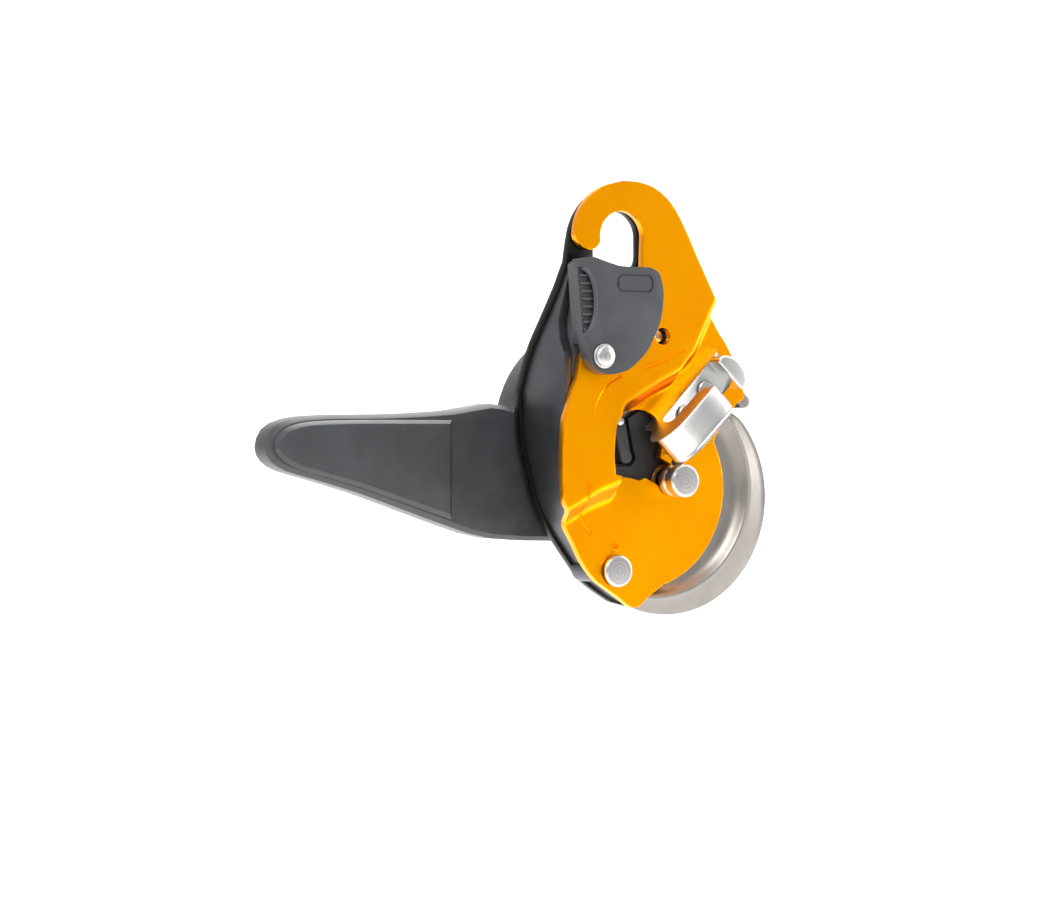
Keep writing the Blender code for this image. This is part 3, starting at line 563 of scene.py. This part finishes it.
def gate_outline():
    side = fair([(-17.6, -37.7), (-18.9, -25), (-20.2, -10), (-19.4, -8.4), (-17.2, -7.8),
                 (-14.4, -7.6)], 4)[:-1]
    curve = fair([(-14.4, -7.6), (-6.4, -9.9), (-2.4, -10.5), (5.3, -10.6), (8.6, -10.9), (11.6, -12.6),
                  (13, -16.5), (13.4, -20.7), (12.6, -27.3), (10.9, -32.1), (7.3, -38.7), (4.1, -42.2),
                  (-0.4, -45.7), (-5, -47.2), (-9.2, -47.5), (-13.4, -46), (-16.4, -42.1),
                  (-17.6, -37.7)])[:-1]
    return side + curve


gate = slab("gate_moulding", gate_outline(), -9.5, -4.3)
tongue = [(-17.4, -37.0), (-18.9, -25), (-20.0, -10), (-19, -8.9), (-13.8, -8.4), (-12.8, -14)]
tongue += [(-14.4, -30), (-15.8, -37.6)]
combine(gate, slab("tongue", tongue, -7.5, -0.8), "UNION")
combine(gate, slab("bore", arc(GATE_PIVOT, 2.3, 0, 350, 35), -20, 20), "DIFFERENCE")
soften(gate, 0.9, 4, 50)
crescent = fair([(-19.6, -11.2), (-17.0, -12.6), (-14.9, -16.2), (-13.9, -21.0), (-14.0, -26.4),
                 (-15.4, -31.0), (-17.4, -33.6), (-19.6, -34.4)], 5)
combine(gate, slab("thumb_hollow", crescent + [(-24, -34), (-24, -11)], -12, -7.7), "DIFFERENCE")


def round_box(left, right, low, high, radius):
    line = []
    centres = ((right, high), (left, high), (left, low), (right, low))
    for index, (x, z) in enumerate(centres):
        inward_x = radius if x == left else -radius
        inward_z = radius if z == low else -radius
        line += arc((x + inward_x, z + inward_z), radius, 90 * index, 90 * index + 90, 8)
    return line


ring = slab("panel_line", round_box(-5.4, 9.2, -19.4, -13.2, 2.4), -12, -9.05)
combine(ring, slab("panel_middle", round_box(-4.7, 8.5, -18.7, -13.9, 1.8), -13, -8), "DIFFERENCE")
combine(gate, ring, "DIFFERENCE")
shade(gate)
paint(gate, NYLON)
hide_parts("gate")
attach(gate, "gate")
print("gate has", len(gate.data.polygons), "faces")

# %% [markdown]
# The thumb presses on eight short ribs set in the hollow, and a raised lip runs round the hollow's inner
# edge. The ribs are small rounded blocks. The lip is a tube swept along the hollow's own outline.
# %% The gate's ribs and lip


def tube(name, path, radius, sides=10):
    """A round bar swept along a path of (x, y, z), closed at both ends."""
    loops = []
    for index, spot in enumerate(path):
        before = Vector(path[max(index - 1, 0)])
        after = Vector(path[min(index + 1, len(path) - 1)])
        ahead = (after - before).normalized()
        out = Vector((0, 1, 0)) - ahead * ahead.y
        out.normalize()
        beside = ahead.cross(out)
        turns = [2 * math.pi * side / sides for side in range(sides)]
        around = [(out * math.cos(turn) + beside * math.sin(turn)) * radius for turn in turns]
        loops.append([(Vector(spot) + offset) * MM for offset in around])
    return from_loops(name, loops, False)


grip_pieces = []
for index in range(8):
    z = -13.9 - 2.65 * index
    left = along([(-38, -17.6), (-25, -18.9), (-10, -20.2)], z) + 0.3
    right = along([(-34.4, -18.6), (-31, -15.9), (-26.4, -14.5), (-21, -14.4), (-16.2, -15.4),
                   (-11.2, -19)], z)
    bpy.ops.object.select_all(action="DESELECT")
    bpy.ops.mesh.primitive_cube_add(size=1, location=((left + right) / 2 * MM, -8.0 * MM, z * MM))
    rib = bpy.context.object
    rib.scale = ((right - left) * MM, 1.9 * MM, 0.9 * MM)
    bpy.ops.object.transform_apply(location=True, rotation=False, scale=True)
    soften(rib, 0.3, 3, 30)
    grip_pieces.append(rib)
grip_pieces.append(tube("gate_lip", [(x, -9.2, z) for x, z in crescent[1:-1]], 0.75))
grip = join("gate_thumb_grip", grip_pieces)
bpy.ops.object.transform_apply(location=True, rotation=True, scale=True)
shade(grip)
paint(grip, NYLON)
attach(grip, "gate")
print("gate grip has", len(grip_pieces), "pieces")

# %% [markdown]
# Shallow lines are pressed into the gold plate, and a small round dimple sits above its pivot. A sunken line
# is cut with the same swept bar, laid with its centre on the surface so that half of it enters.
# %% Pressed lines in the moving plate


def sunken_line(points):
    path = [(x, plate_depth(x, z), z) for x, z in fair(points, 8)]
    combine(plate, tube("line_cutter", path, 0.6, 12), "DIFFERENCE")


sunken_line([(-0.4, -47.9), (-5.4, -50.6), (-9.4, -55.6), (-11.5, -62.1)])
sunken_line([(9.6, -45.0), (14.6, -43.2), (19.6, -41.4), (22.6, -39.4), (25.3, -38.9)])
sunken_line([(-13.3, -84.8), (-13.4, -89.5), (-12.6, -94.0), (-10.6, -98.6), (-7.4, -102.2)])
combine(plate, slab("dimple", arc((1.6, -107.1), 1.8, 0, 350, 35), 0.0, 5.5), "DIFFERENCE")
shade(plate)
print("plate now has", len(plate.data.polygons), "faces")

# %% [markdown]
# The auxiliary brake is a thick bar bent into a hairpin: the rope runs between its two legs. Its long section
# is drawn once and repeated in slices across the bar's width. The outer slices are made larger, which leaves
# a raised lip 1.3 mm high along both edges. A lens-shaped cap is set on the far end.
# %% The brake
BRAKE_HALF = 6.0
END_RADIUS = 3.2
FRONT_LEG_BACK = -10.5


def brake_spot(s, y, t):
    x = BRAKE_BEND[0] + s * math.cos(BRAKE_ANGLE) + t * math.sin(BRAKE_ANGLE)
    z = BRAKE_BEND[1] + s * math.sin(BRAKE_ANGLE) - t * math.cos(BRAKE_ANGLE)
    return Vector((x, y, z)) * MM


def inset_loop(section, distance):
    """The closed section moved outward all round by this distance, for the order in which the bar lists it."""
    out = []
    for index, (s, y) in enumerate(section):
        before = section[index - 1]
        after = section[(index + 1) % len(section)]
        ds = after[0] - before[0]
        dy = after[1] - before[1]
        length = math.hypot(ds, dy)
        out.append((s - dy / length * distance, y + ds / length * distance))
    return out


def brake_bar(name, section, half, rounding, free_end):
    """Slices across the width. The outer ones grow into lips, and the free end has round corners."""
    slices = []
    for step in range(7):
        turn = math.radians(90 * step / 6)
        slices.append((half - rounding * (1 - math.sin(turn)), rounding * (1 - math.cos(turn))))
    inner = [(-t, shrink) for t, shrink in reversed(slices)]
    middle = [(half * share / 4, 0.0) for share in (-2, -1, 0, 1, 2)]
    loops = []
    for t, shrink in sorted(inner + middle + slices):
        corner = max(0.0, abs(t) - (half - END_RADIUS))
        cut_back = END_RADIUS - math.sqrt(max(END_RADIUS ** 2 - corner ** 2, 0.0))
        loop = []
        for s, y in inset_loop(section, shrink):
            if y < FRONT_LEG_BACK:
                s = min(s, free_end - cut_back - shrink)
            loop.append(brake_spot(s, y, t))
        loops.append(loop)
    return from_loops(name, loops, False)


front_leg = [(20.9, -14.6), (20.4, -15.5), (19.4, -16.0), (10, -15.7), (4, -15.3)]
bend = fair([(4, -15.3), (0.4, -14.6), (-3.2, -12.8), (-5.8, -10.0), (-6.3, -7.2), (-5.0, -4.6),
             (-2.4, -2.8)], 4)[1:]
rear_leg = [(-1.0, -1.2), (-0.8, 3.6), (-0.2, 4.2), (31.2, 4.2), (31.6, 3.6), (36.6, 3.6), (37.0, 3.0)]
rear_leg.append((36.6, 0.2))
inside = fair([(4.5, 0.2), (1.8, -1.6), (0.7, -5.0), (1.5, -8.8), (4.4, -10.7)], 4)
tip = [(19.4, -11.6), (20.4, -12.1), (20.9, -13.0)]
bar = brake_bar("brake_bar", front_leg + bend + rear_leg + inside + tip, BRAKE_HALF, 1.3, 20.9)
soften(bar, 0, 1, 30)
lens = []
for step in range(33):
    t = -6.2 + 14.8 * step / 32
    lens.append((32.2 + 5.6 * math.sqrt(max(1 - ((t - 1.2) / 7.4) ** 2, 0.0)), t))
lens += [(31.4, 7.2), (31.4, -4.8)]
spots = [brake_spot(s, 0, t) / MM for s, t in lens]
cap = slab("brake_cap", [(spot.x, spot.z) for spot in spots], -6.6, 3.4)
soften(cap, 0.9, 4, 45)
brake = join("brake_polished", [bar, cap])
paint(brake, POLISHED)
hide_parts("auxiliary_brake")
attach(brake, "side_plate")
print("brake has", len(brake.data.polygons), "faces")

# %% [markdown]
# The fixed plate is flat at the top, runs back in a long slope behind the gate, and is flat again behind the
# cam. Its bent section is drawn as a line, thickened to 3 mm, extruded sideways, and trimmed by the outline.
# %% The fixed plate
bent = [(25, 3.5), (-9, 3.5), (-17, 8), (-25, 14), (-36, 22), (-41, 25), (-48, 28.5), (-53, 31), (-140, 31)]
ahead = []
for index, (z, y) in enumerate(bent):
    before = bent[max(index - 1, 0)]
    after = bent[min(index + 1, len(bent) - 1)]
    length = math.hypot(after[0] - before[0], after[1] - before[1])
    across = PLATE / length
    ahead.append((z - (after[1] - before[1]) * across, y + (after[0] - before[0]) * across))
sheet = bpy.data.meshes.new("fixed_plate_sheet")
section = [(-60 * MM, y * MM, z * MM) for z, y in bent + list(reversed(ahead))]
sheet.from_pydata(section, [], [list(range(len(section)))])
fixed = linked("fixed_plate_bent", sheet)
extrude(fixed, (160 * MM, 0, 0))
left = fair([(15.2, -127.2), (8.2, -123), (2.8, -119), (-1.3, -114), (-9.1, -103.6), (-13.5, -96),
             (-16.4, -90), (-18.4, -82.5), (-20, -76), (-21.6, -69), (-22, -60), (-22.5, -48), (-22, -36), (-21, -25),
             (-20.5, -17), (-19.7, -9), (-18.5, -1.1), (-17.3, 3.8), (-14.9, 8.7), (-10.4, 13.6), (-2, 18.1),
             (4, 19.6), (11, 18.4), (19, 14), (25, 7), (35, -12), (46, -32), (57, -51), (61.5, -60),
             (64.5, -76.5)], 5)[:-1]
right = arc((27, -91), 39.5, 22, -88, 50)
combine(fixed, slab("outline", left + right, -20, 60), "INTERSECT")
slot = arc((0, 0), 9.0, 0, 180, 30) + arc((0, -6), 9.0, 180, 360, 30)
for name, hole in (("slot", slot), ("axle_hole", arc(AXLE, 4.3, 0, 350, 35)),
                   ("shaft_hole", arc(HANDLE_PIVOT, 5.3, 0, 350, 35))):
    combine(fixed, slab(name, hole, -22, 62), "DIFFERENCE")
soften(fixed, 0.4, 2, 50)
paint(fixed, BLACK)
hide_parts("fixed_side_plate")
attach(fixed, "frame")
print("fixed plate has", len(fixed.data.polygons), "faces")

# %% [markdown]
# The remaining pieces keep their modelled shape and get a finish each, most with rounded edges. The guard
# on the cam is near black to paint the shade inside the window, and it is cut short on its right. Turned heads have
# their own rings, centred on their own axis.
# %% Rounded copies of the other pieces
refine("side_wall", WALL_GREY, 0.5, 3)
refine("guide_block", NYLON, 1.2, 4)
refine("friction_shoe", CAST, 0.8, 4)
refine("handle_lever", LEVER, 0.5, 3, 25)
refine("main_axle", turned_steel("turned_axle_steel", "BDBBB9", AXLE), 0.25, 3)
refine("axle_retaining_ring", CAST, 0.2, 2)
refine("plate_pivot_rivet", turned_steel("turned_pivot_steel", "BDBBB9", PIVOT), 0.3, 3)
refine("gate_rivet", turned_steel("turned_gate_rivet_steel", "BDBBB9", GATE_PIVOT), 0.2, 3)
refine("gate_washer", POLISHED, 0.15, 2)
refine("stop_pin", POLISHED, 0.3, 3)
refine("brake_rivet_lower", POLISHED, 0.2, 3)
refine("brake_rivet_upper", POLISHED, 0.2, 3)
# Painted shade: this near-black guard fills the window's interior, and it is trimmed off on the right, where the cam
# rim shows.
shield = refine("cam_shield", PAINTED_SHADE_NYLON, 0.0)
combine(shield, slab("shield_trim", [(37, -130), (70, -130), (70, -40), (37, -40)], -20, 40), "DIFFERENCE")
refine("cam_bush", BRONZE, 0.3, 2)
refine("handle_bearing_ring", BRONZE, 0.3, 2)
refine("anti_error_catch", NYLON, 0.3, 2)
refine("catch_pin", POLISHED, 0.2, 2)
refine("handle_crank", CAST, 0.3, 2)
refine("handle_shaft", CAST, 0.3, 2)
refine("handle_hub_cap", NYLON, 0.4, 3)
refine("handle_screw", turned_steel("turned_hub_screw_steel", "BDBBB9", HANDLE_PIVOT), 0.3, 3)
refine("handle_button", RED, 0.4, 3)
refine("gate_spring", SPRING, 0.3, 3)
refine("cam_return_spring", SPRING, 0.3, 3)
refine("button_spring", SPRING, 0.3, 3)

# %% [markdown]
# The stage is a pale floor that curves up into a backdrop, so no horizon line shows from the front. The
# soft sources stand in front, on each side and above, and one more lights the backdrop. The sky is paler at
# the top than at the bottom, which gives polished metal something to reflect.
# %% Stage, light and camera


def soft_light(name, place, target, size, power):
    lamp = bpy.data.lights.new(name, "AREA")
    lamp.shape = "RECTANGLE"
    lamp.size = size[0]
    lamp.size_y = size[1]
    lamp.energy = power
    item = bpy.data.objects.new(name, lamp)
    item.location = place
    item.rotation_euler = (Vector(target) - Vector(place)).to_track_quat("-Z", "Y").to_euler()
    bpy.context.scene.collection.objects.link(item)


def backdrop(depth, lift, bend_radius, width):
    """A sheet that lies flat, curves up and stands behind the object, square to the line of sight."""
    curve = [(-2.5, 0.0), (depth - bend_radius, 0.0)]
    for step in range(1, 25):
        turn = math.radians(90 * step / 24)
        curve.append((depth - bend_radius + bend_radius * math.sin(turn), bend_radius * (1 - math.cos(turn))))
    curve.append((depth, lift))
    ahead = Vector((0.5, 0.866, 0.0))
    across = Vector((0.866, -0.5, 0.0))
    corners = []
    for far, up in curve:
        for side in (-width, width):
            corners.append(ahead * far + across * side + Vector((0, 0, up - 0.34)))
    faces = [(2 * i, 2 * i + 1, 2 * i + 3, 2 * i + 2) for i in range(len(curve) - 1)]
    mesh = bpy.data.meshes.new("backdrop")
    mesh.from_pydata(corners, [], faces)
    item = linked("backdrop", mesh)
    only(item)
    bpy.ops.object.shade_smooth()
    return item


floor = backdrop(2.6, 3.5, 1.4, 4.0)
stage_paint, tree, shader, place = start_material("matt_backdrop_paint", "F4F4F2", 0.0, 0.9)
mottle = add_node(tree, "ShaderNodeTexNoise", {"Scale": 3.0, "Detail": 2.0}, {"Vector": place})
tint = ramp(tree, mottle.outputs["Fac"], [(0.3, "F5F5F4"), (0.7, "F8F8F7")])
tree.links.new(tint, shader.inputs["Base Color"])
paint(floor, stage_paint)
world = bpy.data.worlds.new("studio")
bpy.context.scene.world = world
world.use_nodes = True
sky = world.node_tree
direction = add_node(sky, "ShaderNodeTexCoord").outputs["Generated"]
height = add_node(sky, "ShaderNodeSeparateXYZ", None, {"Vector": direction})
raised = add_node(sky, "ShaderNodeMapRange", {"From Min": -1.0, "From Max": 1.0},
                  {"Value": height.outputs["Z"]})
shades = ramp(sky, raised.outputs["Result"], [(0.25, "6E6E70"), (0.55, "D8D9DB"), (0.8, "FFFFFF")])
sky.links.new(shades, sky.nodes["Background"].inputs["Color"])
sky.nodes["Background"].inputs["Strength"].default_value = 0.85
bpy.context.scene.view_settings.view_transform = "Standard"
middle = (0.0, 0.0, -0.07)
soft_light("key", (-0.5, -1.2, 0.8), middle, (0.6, 0.6), 15)
soft_light("side", (0.95, -0.45, 0.25), middle, (0.35, 0.9), 7)
soft_light("left", (-1.1, 0.1, 0.2), middle, (0.5, 0.9), 6)
soft_light("top", (0.1, 0.25, 1.0), middle, (0.8, 0.8), 8)
soft_light("backdrop_wash", (0.9, 0.4, 1.9), (1.2, 2.3, -0.1), (1.6, 1.6), 60)
camera = bpy.data.cameras.new("camera")
camera.lens = 125.7
camera.sensor_width = 36.0
camera.clip_end = 50
eye = bpy.data.objects.new("camera", camera)
eye.location = (-0.6540, -1.0658, -0.0741)
eye.rotation_euler = (math.radians(90), 0, math.radians(-30))
bpy.context.scene.collection.objects.link(eye)
bpy.context.scene.camera = eye
print("camera is", round((eye.location - Vector(middle)).length, 3), "m away")
